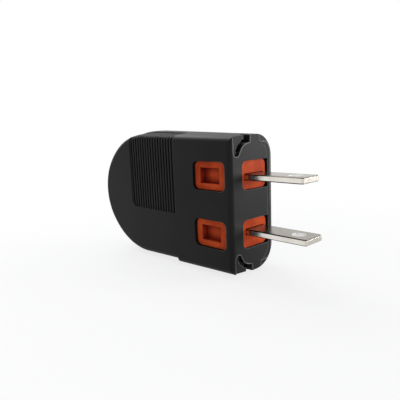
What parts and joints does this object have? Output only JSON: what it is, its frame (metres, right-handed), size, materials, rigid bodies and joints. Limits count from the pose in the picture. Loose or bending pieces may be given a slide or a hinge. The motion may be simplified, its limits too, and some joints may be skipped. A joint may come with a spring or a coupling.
{
  "type": "two-blade mains plug",
  "caption": "Flat D-shaped two-blade mains plug: two black shells, orange blade carriers in windows, ribbed grip, folded blades with screw terminals, cord clamp and inlet bush.",
  "frame": {"origin": "centre of the mating face, midway between the two blades and in the middle of the housing's thickness", "axes": "+X out along the blades, +Z from the lower blade to the upper blade, +Y from the face with the side windows to the far cover's face"},
  "size_m": [0.0672, 0.017, 0.0341],
  "materials": {
    "housing_black": "satin moulded plastic with a fine grain",
    "carrier_orange": "smooth moulded plastic",
    "nickel_plate": "bright nickel plate on stamped brass",
    "zinc_steel": "bright zinc plate",
    "soft_black": "soft moulded rubber"
  },
  "bodies": {
    "root": {"near_housing": "housing_black", "far_cover": "housing_black", "upper_blade_carrier": "carrier_orange", "lower_blade_carrier": "carrier_orange", "upper_blade": "nickel_plate", "lower_blade": "nickel_plate", "upper_wire_clamp": "zinc_steel", "lower_wire_clamp": "zinc_steel", "upper_lock_washer": "zinc_steel", "lower_lock_washer": "zinc_steel", "upper_terminal_screw": "zinc_steel", "lower_terminal_screw": "zinc_steel", "cover_screw": "zinc_steel", "cover_nut": "zinc_steel", "cord_clamp_bar": "zinc_steel", "upper_clamp_screw": "zinc_steel", "lower_clamp_screw": "zinc_steel", "inlet_bush": "soft_black"}
  },
  "joints": []
}
